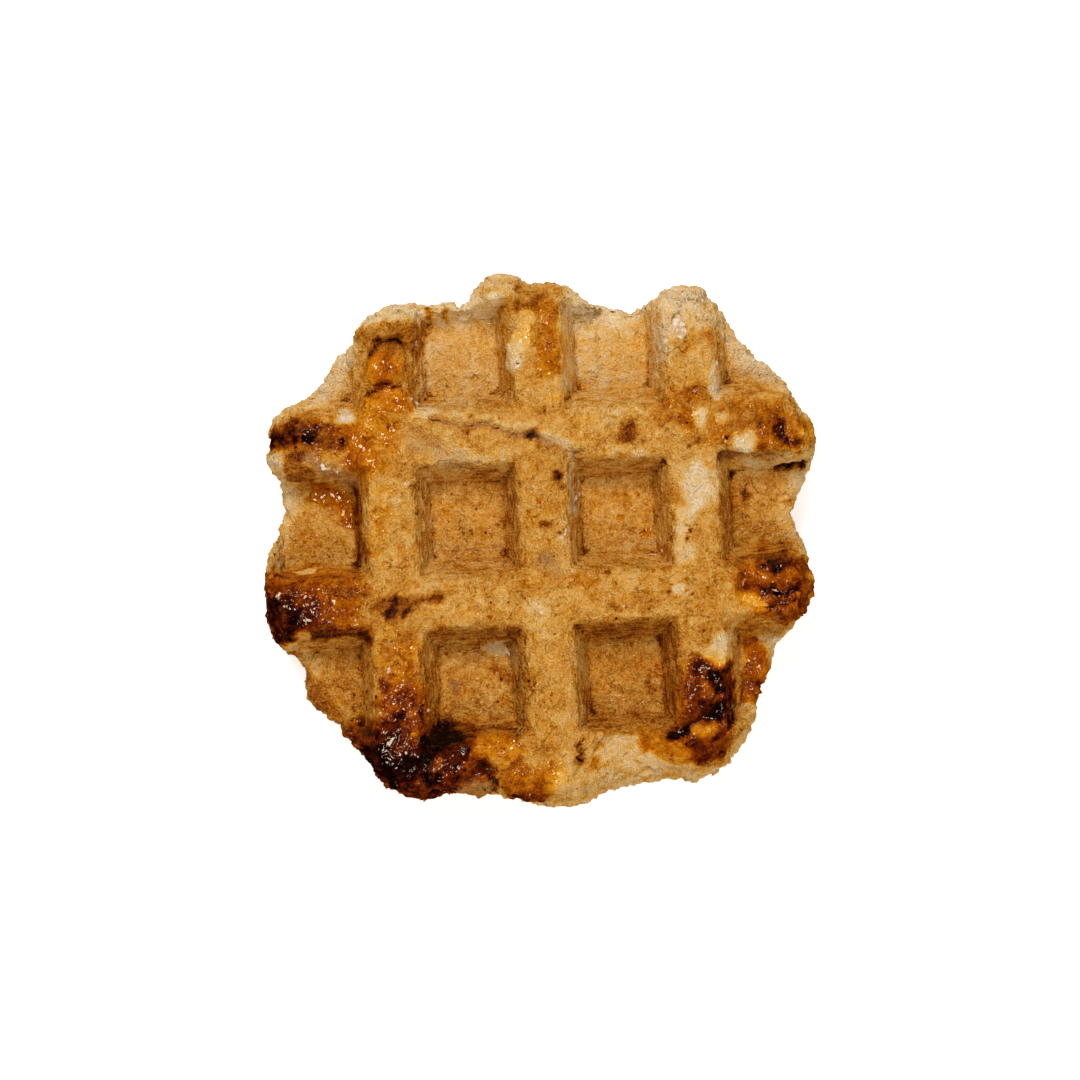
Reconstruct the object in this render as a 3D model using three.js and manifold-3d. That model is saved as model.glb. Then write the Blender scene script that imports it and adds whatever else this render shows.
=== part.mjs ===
// A Liege-style Belgian waffle, one piece of dough baked between two plates that carry the same grid
// of square studs. It is the space between the plates, as far as the dough ran into it, so the solid
// is the common part of two others: the pressed grid, and the puddle that the dough spread into.
// Millimetres, +Z up. The origin is under the middle of the waffle's box, on the plane of the lower
// ridges, which it rests on.
import * as THREE from "three";
import { mergeVertices } from "three/addons/utils/BufferGeometryUtils.js";
import Module from "manifold-3d";

const wasm = await Module();
wasm.setup();

// The grid that the plates press. The y sizes are those of the ridges that run along x.
const THICKNESS = 26; // over the ridges
const POCKET_DEPTH = 9.5; // on each face, which leaves a web of 7 between the floors
const PITCH = { x: 27.1, y: 29.3 }; // from ridge to ridge
const LAND = { x: 8.0, y: 8.9 }; // a ridge's flat top, across it
const WALL_RUN = { x: 3.1, y: 3.5 }; // how far a wall leans in between the land and the floor
const ROUNDING = 1.1; // along a ridge's edges. The feet of the walls are sharp, as the studs' rims are
const ROUNDING_DROP = 0.12; // the share of the pocket's depth that the rounding takes up
const RIDGES_BESIDE_MIDDLE = 2; // enough to reach past the dough on every side
const GRID_CENTRE = { x: 1.3, y: -10.4 }; // where the middle ridges cross
const GRID_TURN = THREE.MathUtils.degToRad(2.6);

// The puddle, which is widest in mid thickness and rounds off to where it met each plate.
const HALF_HEIGHT = THICKNESS / 2 + 0.5; // a little past the plates, so that they cut it
const SIDE_RUN = 4.6; // how far in from the rim the dough reaches its full height
const SIDE_STEPS = 5; // rings of facets in that rounding
const SHOULDER = 5; // the width over which a slumped side rises on to the plate
const SHOULDER_RISE = 1; // so that the puddle's flat middle stays clear of the plates' faces
const RIM_SEGMENTS = 132;

// Where the dough didn't fill the channel up to the plate: the bearing in degrees, the spread to
// each side, the longer run of the side there, and the share of the height that it reached.
const SLUMPS = [
  { bearing: 59, spread: 11, run: 9.0, height: 0.97 },
  { bearing: 100, spread: 9, run: 6.0, height: 0.98 },
  { bearing: 160, spread: 7, run: 6.5, height: 0.95 },
  { bearing: 293, spread: 12, run: 10.0, height: 0.62 },
  { bearing: 317, spread: 10, run: 5.6, height: 0.98 },
];

// The rim, x and y, anticlockwise from the right. The dough ran on along the channels of the ridges
// and was held back in the thin gaps under the studs, so there is a lobe at each ridge's end.
const RIM = [
  // thin edge at the right, in the middle row of pockets
  [47.4, 0.4], [45.4, 5.2], [47.4, 9.6],
  // right end of the upper ridge, and the slope above it
  [48.4, 13.0], [49.8, 16.6], [49.4, 21.0], [46.6, 24.4], [44.8, 28.0], [38.0, 34.2], [34.6, 38.4],
  // upper end of the right ridge
  [32.6, 41.8], [30.2, 44.8], [26.6, 46.3], [23.2, 45.4], [19.4, 42.6],
  // thin edge, then the upper end of the middle ridge in two lobes
  [16.8, 41.1], [12.4, 42.0], [8.2, 43.2], [5.4, 45.4], [1.2, 46.5], [-1.6, 46.3], [-5.6, 48.1],
  [-9.6, 47.6], [-12.0, 44.4], [-13.6, 41.9],
  // thin edge, then the upper end of the left ridge
  [-16.8, 42.9], [-20.2, 42.0], [-24.6, 42.7], [-28.6, 41.7], [-32.4, 38.8], [-34.0, 35.2],
  // thin edge, then the left end of the upper ridge
  [-37.2, 32.4], [-39.8, 27.8], [-43.2, 25.0], [-47.8, 22.5], [-49.2, 20.2], [-48.8, 17.4],
  [-49.1, 14.6], [-47.4, 11.4],
  // thin edge, then the left end of the lower ridge
  [-46.0, 7.4], [-46.4, 3.2], [-48.6, -1.8], [-49.8, -7.6], [-49.4, -12.8], [-48.4, -17.2],
  [-46.8, -20.0],
  // thin edge at the lower left
  [-43.2, -21.7], [-42.2, -24.0], [-42.7, -27.6], [-41.2, -29.8], [-37.6, -32.7], [-34.6, -36.0],
  // lower end of the left ridge, and the last ridge along x as far as it filled
  [-31.4, -39.2], [-29.2, -43.2], [-25.4, -45.8], [-20.8, -46.8], [-15.8, -45.8], [-11.0, -46.5],
  [-7.4, -46.0],
  // lower end of the middle ridge, then the slumped stretch
  [-3.0, -47.4], [2.4, -48.2], [8.8, -47.2], [11.8, -45.7], [20.6, -43.8], [24.6, -43.2],
  // lower end of the right ridge
  [28.2, -43.9], [32.2, -41.5], [36.0, -37.6], [38.4, -33.6],
  // thin edge, then the right end of the lower ridge
  [39.0, -28.0], [40.4, -24.4], [42.2, -21.6], [42.6, -18.4], [45.6, -15.8], [48.4, -12.0],
  [50.0, -7.4], [48.4, -4.6], [48.2, -2.0],
];

const DOUGH = new THREE.MeshStandardMaterial({ color: 0xd09a55, roughness: 0.7, metalness: 0 });

// One side of a ridge: offsets from its centreline, and the share of the pocket's depth there.
function ridgeProfile(land, wallRun) {
  const edge = land / 2;
  return [
    { offset: edge - ROUNDING / 2, drop: 0 },
    { offset: edge + ROUNDING / 2, drop: ROUNDING_DROP },
    { offset: edge + wallRun, drop: 1 },
  ];
}

// The grid's lines across one direction, from the first ridge to the last.
function gridLines(pitch, land, wallRun) {
  const side = ridgeProfile(land, wallRun);
  const lines = [];
  for (let ridge = -RIDGES_BESIDE_MIDDLE; ridge <= RIDGES_BESIDE_MIDDLE; ridge += 1) {
    const centre = ridge * pitch;
    for (const { offset, drop } of [...side].reverse()) lines.push({ at: centre - offset, drop });
    for (const { offset, drop } of side) lines.push({ at: centre + offset, drop });
  }
  return lines;
}

// A closed solid from rows of vertices that each join the next, with a fan over the first row and
// over the last. Every row runs anticlockwise seen from above, and the rows go from top to bottom.
function skin(rows, topCentre, bottomCentre) {
  const positions = [...rows.flat(), topCentre, bottomCentre].flatMap((v) => [v.x, v.y, v.z]);
  const across = rows[0].length;
  const top = rows.length * across;
  const last = top - across;
  const index = [];
  for (let i = 0; i < across; i += 1) {
    const next = (i + 1) % across;
    index.push(top, i, next);
    index.push(top + 1, last + next, last + i);
    for (let row = 0; row < last; row += across) {
      const [a, b, c, d] = [row + i, row + next, row + across + i, row + across + next];
      index.push(a, c, b, b, c, d);
    }
  }
  const geometry = new THREE.BufferGeometry();
  geometry.setAttribute("position", new THREE.Float32BufferAttribute(positions, 3));
  return geometry.setIndex(index);
}

// The pressed grid: both faces over the same lines, joined round the edge.
function pressedGrid() {
  const columns = gridLines(PITCH.x, LAND.x, WALL_RUN.x);
  const rows = gridLines(PITCH.y, LAND.y, WALL_RUN.y);
  const positions = [];
  const faces = [];
  for (const row of rows) {
    for (const column of columns) {
      const drop = POCKET_DEPTH * Math.min(row.drop, column.drop);
      positions.push(column.at, row.at, THICKNESS - drop, column.at, row.at, drop);
    }
  }
  const height = (vertex) => positions[3 * vertex + 2];
  const topAt = (i, j) => 2 * (j * columns.length + i);
  // Splits a quad along the diagonal that follows the mitre between two walls.
  const addQuad = (a, b, c, d) => {
    const split = Math.abs(height(a) - height(c)) >= Math.abs(height(b) - height(d));
    faces.push(...(split ? [a, b, c, a, c, d] : [a, b, d, b, c, d]));
  };
  for (let j = 0; j + 1 < rows.length; j += 1) {
    for (let i = 0; i + 1 < columns.length; i += 1) {
      const corners = [topAt(i, j), topAt(i + 1, j), topAt(i + 1, j + 1), topAt(i, j + 1)];
      addQuad(...corners);
      addQuad(...corners.reverse().map((vertex) => vertex + 1));
    }
  }
  const [lastColumn, lastRow] = [columns.length - 1, rows.length - 1];
  const border = [];
  for (let i = 0; i < lastColumn; i += 1) border.push(topAt(i, 0));
  for (let j = 0; j < lastRow; j += 1) border.push(topAt(lastColumn, j));
  for (let i = lastColumn; i > 0; i -= 1) border.push(topAt(i, lastRow));
  for (let j = lastRow; j > 0; j -= 1) border.push(topAt(0, j));
  border.forEach((from, k) => {
    const to = border[(k + 1) % border.length];
    faces.push(from, from + 1, to + 1, from, to + 1, to);
  });
  const geometry = new THREE.BufferGeometry();
  geometry.setAttribute("position", new THREE.Float32BufferAttribute(positions, 3));
  geometry.setIndex(faces);
  return geometry.rotateZ(GRID_TURN).translate(GRID_CENTRE.x, GRID_CENTRE.y, 0);
}

// The side's run and height at a bearing, from the usual ones and the slumps near it.
function sideAt(bearing) {
  const side = { run: SIDE_RUN, height: HALF_HEIGHT };
  for (const slump of SLUMPS) {
    const away = THREE.MathUtils.euclideanModulo(bearing - slump.bearing + 180, 360) - 180;
    const share = Math.exp(-((away / slump.spread) ** 2));
    side.run += share * (slump.run - SIDE_RUN);
    side.height -= share * (1 - slump.height) * HALF_HEIGHT;
  }
  return side;
}

// The dough puddle, as rings that follow the rim and draw in towards each plate.
function doughPuddle() {
  const corners = RIM.map(([x, y]) => new THREE.Vector3(x, y, 0));
  const rim = new THREE.CatmullRomCurve3(corners, true, "centripetal").getSpacedPoints(RIM_SEGMENTS);
  rim.pop(); // the last point repeats the first
  const middle = THICKNESS / 2;
  const ringAt = (insetAndRise) =>
    rim.map((point) => {
      const bearing = THREE.MathUtils.radToDeg(Math.atan2(point.y, point.x));
      const { inset, rise } = insetAndRise(sideAt(bearing));
      const vertex = point.clone().setLength(point.length() - inset);
      return vertex.setZ(middle + rise);
    });
  const rings = [];
  for (const way of [1, -1]) {
    const half = [ringAt(({ run }) => ({
      inset: run + SHOULDER,
      rise: way * (HALF_HEIGHT + SHOULDER_RISE),
    }))];
    for (let step = SIDE_STEPS; step > 0; step -= 1) {
      const turn = (step / SIDE_STEPS) * (Math.PI / 2);
      half.push(ringAt(({ run, height }) => ({
        inset: run * (1 - Math.cos(turn)),
        rise: way * height * Math.sin(turn),
      })));
    }
    if (way === 1) rings.push(...half, rim.map((point) => point.clone().setZ(middle)));
    else rings.push(...half.reverse());
  }
  const cap = HALF_HEIGHT + SHOULDER_RISE;
  return skin(
    rings,
    new THREE.Vector3(0, 0, middle + cap),
    new THREE.Vector3(0, 0, middle - cap),
  );
}

function solidOf(geometry) {
  const merged = mergeVertices(geometry);
  return new wasm.Manifold(
    new wasm.Mesh({
      numProp: 3,
      vertProperties: merged.attributes.position.array,
      triVerts: new Uint32Array(merged.index.array),
    }),
  );
}

function geometryOf(solid) {
  const { vertProperties, triVerts } = solid.getMesh();
  const geometry = new THREE.BufferGeometry();
  geometry.setAttribute("position", new THREE.BufferAttribute(vertProperties, 3));
  geometry.setIndex(new THREE.BufferAttribute(triVerts, 1));
  return geometry;
}

// The dough that stayed within both, with its box centred over the origin.
function waffleGeometry() {
  const geometry = geometryOf(solidOf(pressedGrid()).intersect(solidOf(doughPuddle())));
  geometry.computeBoundingBox();
  const centre = geometry.boundingBox.getCenter(new THREE.Vector3());
  geometry.translate(-centre.x, -centre.y, -geometry.boundingBox.min.z);
  geometry.computeVertexNormals();
  return geometry;
}

const waffle = new THREE.Mesh(waffleGeometry(), DOUGH);
waffle.name = "waffle";

const part = new THREE.Group();
part.add(waffle);

export default part;
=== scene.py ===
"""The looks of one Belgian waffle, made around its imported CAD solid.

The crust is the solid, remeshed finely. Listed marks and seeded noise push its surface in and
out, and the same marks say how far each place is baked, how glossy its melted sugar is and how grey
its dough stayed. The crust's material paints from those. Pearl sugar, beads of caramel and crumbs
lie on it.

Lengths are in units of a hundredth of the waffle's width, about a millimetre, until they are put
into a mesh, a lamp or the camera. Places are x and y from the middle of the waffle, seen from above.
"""
import math
from dataclasses import dataclass
from functools import reduce

import bmesh
import bpy
import numpy as np
from mathutils import Matrix, Quaternion, Vector, noise
from mathutils.bvhtree import BVHTree


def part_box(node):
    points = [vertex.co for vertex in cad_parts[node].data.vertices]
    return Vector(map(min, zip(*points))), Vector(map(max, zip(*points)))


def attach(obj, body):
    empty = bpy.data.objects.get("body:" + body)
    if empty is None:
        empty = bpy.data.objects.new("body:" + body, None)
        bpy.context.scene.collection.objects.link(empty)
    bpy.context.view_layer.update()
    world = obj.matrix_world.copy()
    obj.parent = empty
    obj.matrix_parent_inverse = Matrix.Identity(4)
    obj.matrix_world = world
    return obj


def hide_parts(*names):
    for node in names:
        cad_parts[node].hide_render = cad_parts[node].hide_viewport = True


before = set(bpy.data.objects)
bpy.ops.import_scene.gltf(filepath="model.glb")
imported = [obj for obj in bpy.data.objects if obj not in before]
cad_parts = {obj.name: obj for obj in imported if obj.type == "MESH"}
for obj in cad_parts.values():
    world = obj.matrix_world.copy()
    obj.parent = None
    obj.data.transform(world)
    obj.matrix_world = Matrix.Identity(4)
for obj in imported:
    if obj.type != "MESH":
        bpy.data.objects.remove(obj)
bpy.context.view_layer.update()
LOW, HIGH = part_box("waffle")
UNIT = (HIGH.x - LOW.x) / 100
THICKNESS = HIGH.z / UNIT
MIDDLE = THICKNESS / 2

# The colours of a place by how far it is baked, where it is dry dough and where melted sugar wets it.
# In a few places the bake level also holds painted shade and painted light.
DRY_COLOURS = [
    (0.00, "#EFD9B8"),
    (0.18, "#E3BE88"),
    (0.30, "#DEAA5C"),
    (0.42, "#D2923C"),
    (0.54, "#B87424"),
    (0.66, "#964F10"),
    (0.80, "#612A0A"),
    (0.91, "#301207"),
    (1.00, "#130605"),
]
WET_COLOURS = [
    (0.00, "#EED2A0"),
    (0.18, "#E6B664"),
    (0.30, "#E2A23A"),
    (0.42, "#D2871A"),
    (0.54, "#BA6809"),
    (0.66, "#974604"),
    (0.80, "#5E1D05"),
    (0.91, "#2A0B05"),
    (1.00, "#0E0403"),
]
SPECK_COLOUR = "#E9D2B8"
GREY_DOUGH = "#9A7350"
CLEAR_SUGAR = "#C99A66"
WHITE_SUGAR = "#E8D6BE"


def linear(colour):
    """A hex colour as linear red, green, blue and alpha."""
    parts = [int(colour[i : i + 2], 16) / 255 for i in (1, 3, 5)]
    return [p / 12.92 if p <= 0.04045 else ((p + 0.055) / 1.055) ** 2.4 for p in parts] + [1.0]


# ---- numbers on the surface ----


def smoothstep(low, high, values):
    share = np.clip((values - low) / (high - low), 0, 1)
    return share * share * (3 - 2 * share)


def noise_at(points, size, seed, octaves=3):
    """Noise, mostly from -1 to 1, whose largest lumps are size across. size may differ by axis.

    Each seed gives a pattern of its own.
    """
    scaled = points / np.asarray(size, float) + seed * 17.3
    values = [noise.fractal(place, 1.0, 2.0, octaves) for place in scaled.tolist()]
    return 1.5 * np.array(values)


def distance_to_path(plan, path):
    """How far each plan point is from a line through the path's points, or from its only point."""
    corners = np.array(path, float)
    if len(corners) == 1:
        return np.linalg.norm(plan - corners[0], axis=1)
    nearest = np.full(len(plan), np.inf)
    for start, end in zip(corners, corners[1:]):
        along = end - start
        share = np.clip((plan - start) @ along / (along @ along), 0, 1)
        gap = np.linalg.norm(plan - start - share[:, None] * along, axis=1)
        nearest = np.minimum(nearest, gap)
    return nearest


class Surface:
    """A mesh's vertices in units, and the fields that its relief and colours are worked out from."""

    def __init__(self, mesh):
        self.mesh = mesh
        count = len(mesh.vertices)
        flat = np.empty(count * 3, np.float32)
        mesh.vertices.foreach_get("co", flat)
        self.points = flat.reshape(-1, 3).astype(float) / UNIT
        pairs = np.empty(len(mesh.edges) * 2, np.int32)
        mesh.edges.foreach_get("vertices", pairs)
        self.pairs = pairs.reshape(-1, 2)
        self.neighbours = np.bincount(pairs, minlength=count)

    def neighbour_mean(self, values):
        first, second = self.pairs.T
        columns = np.atleast_2d(values.T)
        total = [
            np.bincount(first, column[second], len(self.points))
            + np.bincount(second, column[first], len(self.points))
            for column in columns
        ]
        return (np.array(total) / self.neighbours).T.reshape(values.shape)

    def spread(self, values, rounds):
        for _ in range(rounds):
            values = (values + self.neighbour_mean(values)) / 2
        return values

    def store(self):
        self.mesh.vertices.foreach_set("co", (self.points * UNIT).astype(np.float32).ravel())
        self.mesh.update()

    def normals(self):
        self.store()
        flat = np.empty(len(self.points) * 3, np.float32)
        self.mesh.vertices.foreach_get("normal", flat)
        return flat.reshape(-1, 3).astype(float)

    def hollowness(self, rounds):
        """Above 0 in hollows and below 0 on edges, by how far smoothing would move each point."""
        return np.sum((self.spread(self.points, rounds) - self.points) * self.normals(), axis=1)

    def snap_to(self, solid):
        """Move each point to the nearest place on the solid, whose corners the voxels cut."""
        corners = [corner.co for corner in solid.vertices]
        tree = BVHTree.FromPolygons(corners, [face.vertices for face in solid.polygons])
        nearest = [tree.find_nearest(place)[0] for place in (self.points * UNIT).tolist()]
        self.points = np.array(nearest) / UNIT

    def keep(self, name, values):
        attribute = self.mesh.attributes.new(name, "FLOAT", "POINT")
        attribute.data.foreach_set("value", values.astype(np.float32))


# ---- marks: what happened where ----

CRACK_REACH = 1.5  # how far from its crack the crack field falls to 0


@dataclass
class Mark:
    """One thing on the surface, within reach of a path. What is None stays as it was around it.

    tone makes what is there darker, or paler below 0. relief raises it, or sinks it below 0.
    crack, from 0 to 1, draws a thin dark crack along the path.
    """

    path: list
    reach: float
    bake: float = None
    gloss: float = None
    grey: float = None
    tone: float = 0.0
    relief: float = 0.0
    crack: float = 0.0


UPPER_MARKS = [
    # pockets of the upper row are painted paler, those of the lower row darker
    Mark([(-14.5, 33), (-14, 38)], 10, tone=-0.11),
    Mark([(12.5, 33), (12.5, 38)], 11, tone=-0.13),
    Mark([(38, 31)], 8, tone=-0.05),
    Mark([(-40, 28), (-36, 32)], 5, tone=-0.1),
    Mark([(-11.5, -26)], 11, tone=0.05),
    Mark([(15.5, -25)], 11, tone=0.05),
    Mark([(-38, -26)], 8, tone=0.08),
    Mark([(41, 6)], 7, tone=0.06),
    # their walls, painted darker or paler than that: partly the crust's own colour, partly painted shade
    # and painted light that set how dark each wall looks
    Mark([(-18, -16.6), (-4, -17)], 1.5, tone=0.1),
    Mark([(-18, -34.5), (-5, -35.5)], 1.6, tone=0.19),
    Mark([(8, -16), (22, -15.2)], 1.5, tone=0.06),
    Mark([(6.4, -18), (7, -34)], 1.7, tone=-0.1),
    Mark([(23.6, -17), (24, -33)], 1.5, tone=0.06),
    Mark([(3.8, 27), (3.4, 40)], 1.8, tone=-0.12, gloss=0.35),
    Mark([(-6, 28), (-6.6, 39)], 1.5, gloss=0.3, tone=0.03),
    Mark([(-20.8, 28), (-21.4, 38)], 1.6, tone=-0.05),
    Mark([(-18, 24), (-6, 24.6)], 1.5, tone=-0.05),
    Mark([(-20.4, -5), (-21, 11)], 1.6, tone=-0.04),
    Mark([(-19, 14.4), (-7, 15)], 1.5, tone=-0.11),
    Mark([(6, -5), (5.6, 12)], 1.6, tone=-0.06),
    Mark([(-12, -9.4), (-8, -10.6)], 2.6, tone=-0.07),
    # the edge of the waffle: pale beyond the upper pockets, and paler and more golden still there as
    # painted light on the shaded wall that rises to it; brown at the lower left
    Mark([(-18, 41.6), (-8, 42)], 2.6, bake=0.1, gloss=0.4),
    Mark([(6, 42.6), (17, 41.6)], 2.2, bake=0.1, gloss=0.35),
    Mark([(-45, -23), (-41, -29), (-36, -34)], 2.4, bake=0.62),
    # upper end of the middle ridge: two lobes with a brown dip between them
    Mark([(-7, 47)], 3.2, bake=0.24),
    Mark([(2, 45)], 2.6, bake=0.4),
    Mark([(-3, 45.5), (-3, 42)], 1.7, bake=0.5, relief=-1.3),
    Mark([(-4.4, 42.4), (-0.6, 42.8)], 1.3, bake=0.66),
    Mark([(-6.2, 41.8), (-6.2, 39), (-5.8, 35.6)], 1.2, bake=0.44, gloss=0.3),
    Mark([(0.3, 43.2), (0.6, 40.5)], 1.0, bake=0.74, relief=-0.4),
    Mark([(1.2, 41), (1.6, 36), (1.2, 31)], 2.1, bake=0.57, gloss=0.5),
    # a lump of melted butter and sugar along its left edge
    Mark([(-2.2, 39.4), (-2.6, 37.6), (-3.6, 35.4)], 1.6, bake=0.29, relief=1.1, gloss=0.5),
    Mark([(-4.1, 34.5), (-4.3, 30.8)], 1.0, bake=0.1, grey=0.3, relief=0.8, gloss=0.5),
    # a fold along the upper ridge
    Mark([(-23, 22.8), (-19.7, 22.9)], 1.2, bake=0.2, relief=0.4),
    Mark([(-17, 22.5), (-14, 21.8), (-8, 21.2)], 1.1, bake=0.3, relief=0.5),
    Mark([(-6, 21.2), (-2, 20.6)], 1.0, bake=0.26, relief=0.4),
    # the crease under the fold's lip: a real groove, darkened and greyed as a painted shadow under the
    # lip
    Mark([(-19.7, 22.1), (-16, 21.2), (-12, 20.2), (-8, 20.0), (-2, 19.4), (0.8, 18.4), (3.4, 16.6),
          (6, 14.7)], 0.6, bake=0.5, grey=0.5, relief=-1.0, crack=0.66),
    Mark([(0.8, 19.4), (3.6, 17.8), (5.6, 16)], 0.9, bake=0.22, relief=0.3),
    Mark([(-1.5, 19)], 0.7, bake=1.0, relief=-1.6, crack=1.3),
    Mark([(-14, 19.3)], 0.6, bake=0.85, relief=-0.7, crack=1.0),
    # a soft dent below the fold, greyed as painted shade
    Mark([(-22.5, 18), (-19.5, 17), (-17, 14.6), (-14.5, 13.6)], 1.9, grey=0.45, relief=-0.7),
    Mark([(15.6, 19.2)], 1.7, bake=0.7),
    Mark([(12.5, 16.6), (15.4, 16.4)], 0.9, bake=0.3),
    Mark([(17.4, 15.9), (19.2, 15.8)], 0.8, bake=0.24, relief=0.3),
    Mark([(26.6, 16.7), (28.4, 17.6)], 0.4, bake=0.75, relief=-0.5),
    # upper end of the left ridge: a glossy knob in a hollow under a brown hood
    Mark([(-27.5, 33), (-27, 29)], 5.2, bake=0.55, relief=-0.9),
    Mark([(-32, 37), (-28, 38.6), (-22, 38.6)], 2.4, bake=0.56, relief=0.5),
    Mark([(-31.5, 39.5), (-27, 41), (-22, 40.8)], 1.6, bake=0.16),
    Mark([(-31.2, 33.2), (-29.3, 35.3), (-26.6, 36.3), (-24, 36.2), (-23, 34.6)], 0.7, bake=0.74,
         relief=-1.5, crack=1.0),
    Mark([(-27.8, 30.6)], 3.3, bake=0.6, gloss=0.9, relief=1.5),
    Mark([(-31.2, 26.8), (-28.4, 27.4), (-26.2, 27.3), (-24, 26.8)], 0.45, bake=0.92, relief=-1.3),
    Mark([(-29, 24.8), (-25.6, 24.6)], 2.3, bake=0.6, gloss=0.8, relief=0.3),
    Mark([(-22, 36.5), (-21.8, 33.6)], 0.6, bake=0.62),
    Mark([(-20.4, 41), (-19.6, 40.2)], 0.6, bake=0.6, relief=0.4),
    Mark([(-17, 39.8), (-16.4, 41)], 0.5, bake=0.6, relief=0.3),
    Mark([(-23, 30), (-23.4, 26)], 0.8, bake=0.52),
    # left end of the upper ridge
    Mark([(-48.5, 17.8), (-44, 19.8), (-41, 19.3), (-36, 17.6)], 2.3, bake=0.72, gloss=0.4, relief=-0.4),
    Mark([(-48.6, 18.2), (-45, 18.8)], 1.2, bake=0.9, gloss=0.5),
    Mark([(-42, 19.2), (-40.6, 18.6)], 0.9, bake=0.92, gloss=0.5),
    Mark([(-44, 15), (-40, 16)], 1.6, bake=0.68),
    Mark([(-30.6, 22), (-28, 18), (-29.8, 15)], 3.0, bake=0.5, gloss=0.5),
    Mark([(-33.5, 18.5), (-32, 15), (-33, 13.2)], 2.7, bake=0.62, gloss=0.7),
    Mark([(-35.3, 17.4)], 0.6, bake=1.0, relief=-0.6),
    Mark([(-47.2, 14.3)], 2.0, bake=0.2, relief=0.7),
    Mark([(-44.6, 12.2), (-42, 11.4)], 1.6, bake=0.66),
    Mark([(-41, 14.6), (-38.6, 12.9), (-33.6, 11)], 1.3, bake=0.46, grey=0.6, relief=0.3),
    Mark([(-34.8, 22.2)], 1.3, bake=0.06, grey=0.25),
    # the pocket at the left end of the middle row
    Mark([(-39.5, 2)], 5.5, bake=0.48),
    Mark([(-40, 8.6), (-36.5, 7), (-35, 4.6)], 2.0, bake=0.6, gloss=0.75),
    Mark([(-33.2, 9), (-32.6, 2), (-32.3, -4)], 0.9, bake=0.74),
    Mark([(-44.5, -6.6), (-39, -6.6), (-34, -6.2)], 1.7, bake=0.62, gloss=0.6),
    Mark([(-43.2, -5.7), (-41, -5.6)], 0.5, bake=0.1, gloss=0.6),
    # left end of the lower ridge, burnt
    Mark([(-48, -10), (-43, -11.5), (-36, -12)], 4.2, bake=0.62, gloss=0.6),
    Mark([(-48, -10), (-45, -12), (-41, -12.5)], 4.2, bake=0.76, gloss=0.9),
    Mark([(-48, -12), (-45.4, -14), (-43, -12.8)], 2.8, bake=0.88, gloss=1.0),
    Mark([(-46.8, -17.6), (-44.6, -15.2)], 1.9, bake=0.97, gloss=1.0),
    Mark([(-44.6, -12.6), (-42.6, -13.4)], 1.5, bake=0.97, gloss=1.0),
    Mark([(-40.5, -16.6), (-35, -16.2), (-31, -17.4)], 1.3, bake=0.8, gloss=0.3),
    Mark([(-37, -9.4), (-32, -8.8)], 1.4, bake=0.64, gloss=0.4),
    # crossing of the left and lower ridges
    Mark([(-27.6, -12), (-24.6, -12)], 2.4, bake=0.66),
    Mark([(-25.6, -10), (-25.9, -12.4), (-27.2, -14)], 0.6, bake=0.86, relief=-0.4),
    Mark([(-23.6, -12.8), (-24.4, -14.2)], 0.6, bake=0.86, relief=-0.3),
    Mark([(-22.4, -11.8), (-20.3, -10.8), (-18, -10.7)], 0.7, bake=0.7, relief=-0.4),
    # lower end of the left ridge, burnt, with two lumps beside it
    Mark([(-28, 8), (-29.6, -2)], 1.8, bake=0.45, gloss=0.35),
    Mark([(-25, -21), (-24.5, -27)], 4.2, bake=0.54, gloss=0.5),
    Mark([(-28.4, -25), (-27.4, -30)], 0.8, bake=0.78, gloss=0.6),
    Mark([(-24.5, -30), (-23.5, -35)], 4.2, bake=0.75, gloss=0.8),
    Mark([(-25.6, -34), (-24.5, -37)], 3.4, bake=0.84, gloss=1.0),
    Mark([(-31, -36.4), (-27.5, -41), (-20, -44), (-12, -43)], 4.0, bake=0.82, gloss=0.9),
    Mark([(-29, -39), (-25, -42), (-21.6, -39.4)], 2.8, bake=0.97, gloss=1.0),
    Mark([(-19, -38.6), (-15, -37.4), (-12, -37.2)], 2.2, bake=0.88, gloss=0.8),
    Mark([(-19.6, -37), (-16.2, -34.8)], 2.0, bake=1.0, gloss=0.0, relief=-0.6),
    Mark([(-22.6, -34.6), (-22.8, -31.6)], 1.1, bake=0.7, gloss=0.9, relief=0.4),
    Mark([(-17.8, -41.6), (-15, -40.6)], 2.6, bake=0.81, gloss=0.9, relief=0.6),
    Mark([(-12, -39.4)], 2.4, bake=0.79, gloss=0.7, relief=0.3),
    Mark([(-19.4, -37.6), (-20.6, -43), (-19, -45.4)], 0.7, bake=0.98, relief=-1.0),
    Mark([(-14, -44.6), (-9.6, -45.2)], 1.3, bake=0.5, gloss=0.1, grey=0.5),
    Mark([(-9.4, -36.6), (-5.6, -37.6)], 2.5, bake=0.55, gloss=0.6, relief=0.4),
    Mark([(-9.6, -39.6), (-8.6, -43.4), (-7.8, -46)], 0.8, bake=0.85, relief=-1.2),
    Mark([(-9, -40.6), (-6, -41.2), (-4.4, -40)], 0.6, bake=0.74, relief=-0.8),
    Mark([(-4.6, -43), (-1, -43.4), (2.4, -42.4)], 2.6, bake=0.6, gloss=0.6, relief=0.3),
    Mark([(-5, -46.4), (0, -45.6)], 1.0, bake=0.78, gloss=0.6),
    Mark([(2, -39), (0.6, -36.6)], 2.0, bake=0.5),
    # the slumped stretch between the middle and right ridges
    Mark([(8, -43), (14, -41), (22, -41)], 5.4, bake=0.29),
    Mark([(12, -37.4), (18, -38)], 2.6, bake=0.22),
    Mark([(7.2, -35.9), (7.4, -38.2), (7.2, -40)], 0.7, bake=0.56, relief=-0.9, crack=0.9),
    Mark([(10.2, -37.4), (10.8, -37)], 0.7, bake=0.5, gloss=0.6),
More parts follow.
